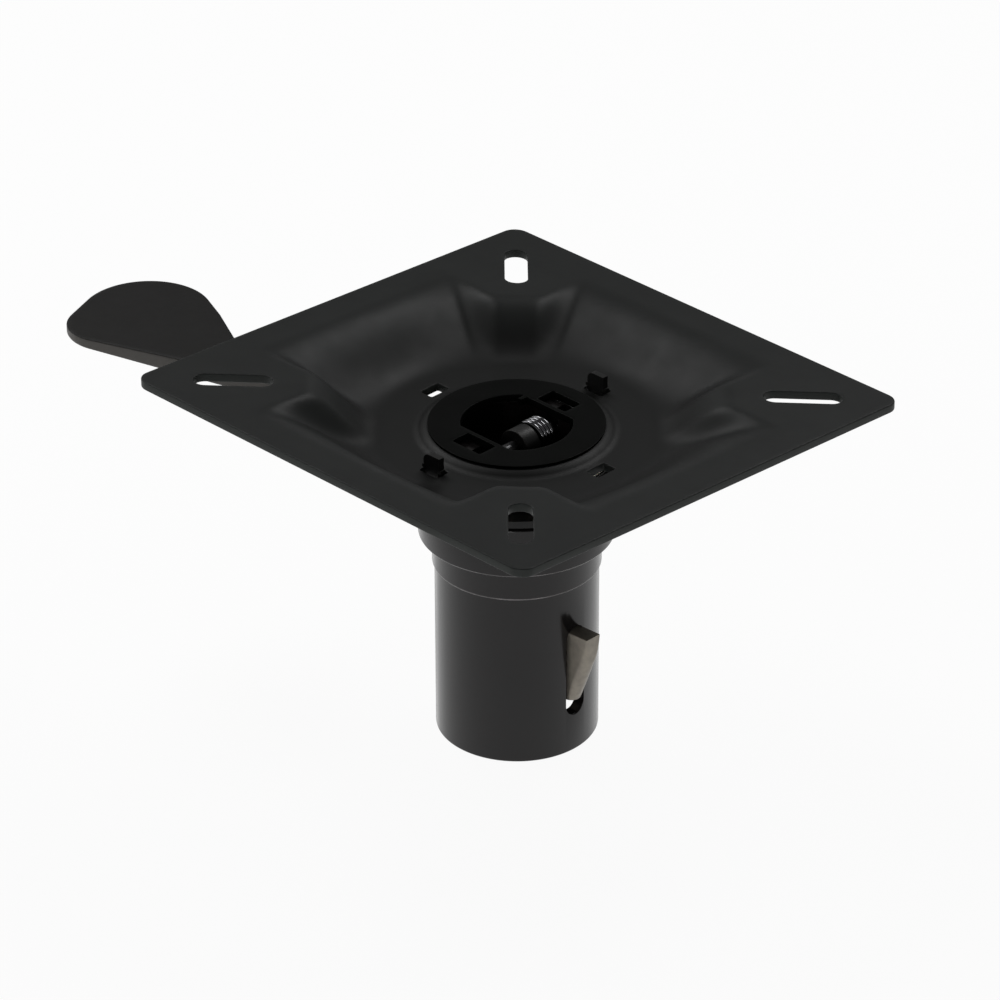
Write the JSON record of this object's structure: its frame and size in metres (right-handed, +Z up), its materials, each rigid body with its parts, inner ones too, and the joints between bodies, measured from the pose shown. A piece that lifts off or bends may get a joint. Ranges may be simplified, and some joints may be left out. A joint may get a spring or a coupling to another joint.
{
  "type": "boat seat mount",
  "caption": "Swivel seat mount for a boat: a dished square plate with slotted corners turns on a plug-in stem, locked by a lift lever and held in its post by a spring latch.",
  "frame": {"origin": "on the swivel axis at the stem's bottom face", "axes": "+Z up along the swivel axis, +X towards the latch, -Y towards the front of the seat"},
  "size_m": [0.2574, 0.1775, 0.1324],
  "materials": {
    "stem_plastic": "gloss black moulded",
    "cap_plastic": "satin black moulded",
    "washer_plastic": "natural nylon",
    "plate_coat": "matt black coat on stamped steel",
    "lever_coat": "black coat on stamped steel",
    "grip_plastic": "matt black moulded",
    "spring_steel": "bright spring wire",
    "latch_metal": "satin warm grey metal",
    "pin_steel": "plain steel"
  },
  "bodies": {
    "stem_body": {"stem": "stem_plastic", "retainer_cap": "cap_plastic", "bearing_washer": "washer_plastic", "latch_pin": "pin_steel", "latch_spring": "spring_steel"},
    "plate_body": {"seat_plate": "plate_coat"},
    "lever_body": {"lock_lever": "lever_coat", "handle_grip": "grip_plastic", "lever_spring": "spring_steel"},
    "latch_body": {"latch": "latch_metal"}
  },
  "joints": [
    {"name": "swivel", "type": "hinge", "parent": "stem_body", "child": "plate_body", "pos_m": [0, 0, 0.1124], "axis": [0, 0, 1], "continuous": true},
    {"name": "lever_lift", "type": "hinge", "parent": "plate_body", "child": "lever_body", "pos_m": [0, 0, 0.1124], "axis": [0, 1, 0], "range_deg": [0, 6], "stiffness_Nm_per_rad": 6, "springref_deg": -6.88, "deforming": ["lever_spring"]},
    {"name": "latch_press", "type": "hinge", "parent": "stem_body", "child": "latch_body", "pos_m": [0.002, 0, 0.1075], "axis": [0, 1, 0], "range_deg": [0, 8], "stiffness_Nm_per_rad": 1, "springref_deg": -20.05, "deforming": ["latch_spring"]}
  ]
}
